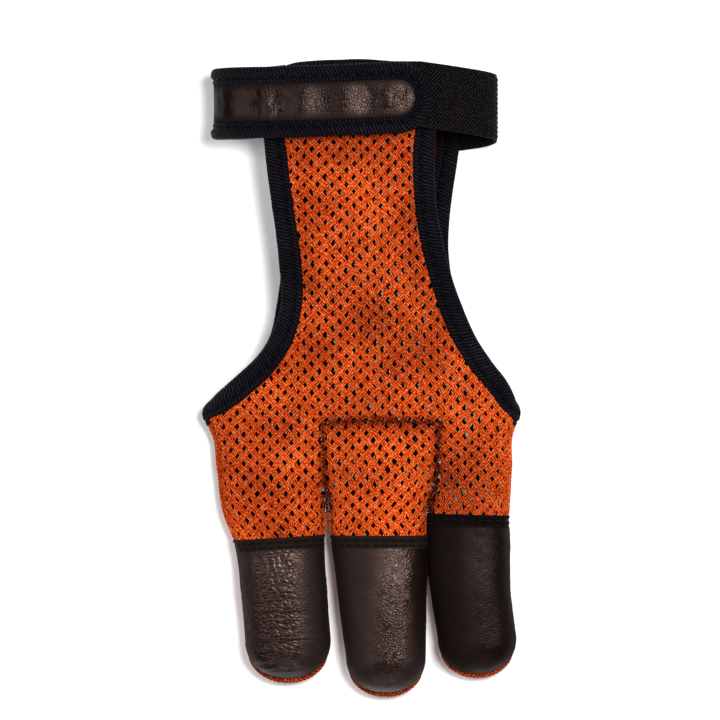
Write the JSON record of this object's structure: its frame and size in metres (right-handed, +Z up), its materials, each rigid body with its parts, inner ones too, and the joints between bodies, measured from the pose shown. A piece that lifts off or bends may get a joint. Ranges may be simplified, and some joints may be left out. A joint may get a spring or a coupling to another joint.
{
  "type": "archery glove",
  "caption": "Three-finger archery glove with leather fingertips, open net palm and back, bound side openings and an elastic wrist strap closed by a tab.",
  "frame": {"origin": "centre of the glove's footprint, on the surface that the back of the hand lies on", "axes": "+Y along the fingers towards the wrist, +X towards the ring finger, +Z up from the back of the hand to the leather side"},
  "size_m": [0.0988, 0.1978, 0.0297],
  "materials": {
    "net": "orange polyester diamond net",
    "tip_leather": "dark brown soft leather",
    "tab_leather": "dark brown creased shiny leather",
    "edge_tape": "navy black knitted binding tape",
    "tab_cloth": "black backing cloth",
    "elastic": "black woven elastic"
  },
  "bodies": {
    "root": {"front_panel": "net", "middle_finger_panel": "net", "back_panel": "net", "index_tip_leather": "tip_leather", "middle_tip_leather": "tip_leather", "ring_tip_leather": "tip_leather", "front_edge_tape": "edge_tape", "back_edge_tape": "edge_tape", "wrist_tab_tape": "edge_tape", "wrist_tab_base": "tab_cloth", "wrist_tab_leather": "tab_leather", "hook_patch": "tab_cloth", "elastic_strap": "elastic"}
  },
  "joints": []
}
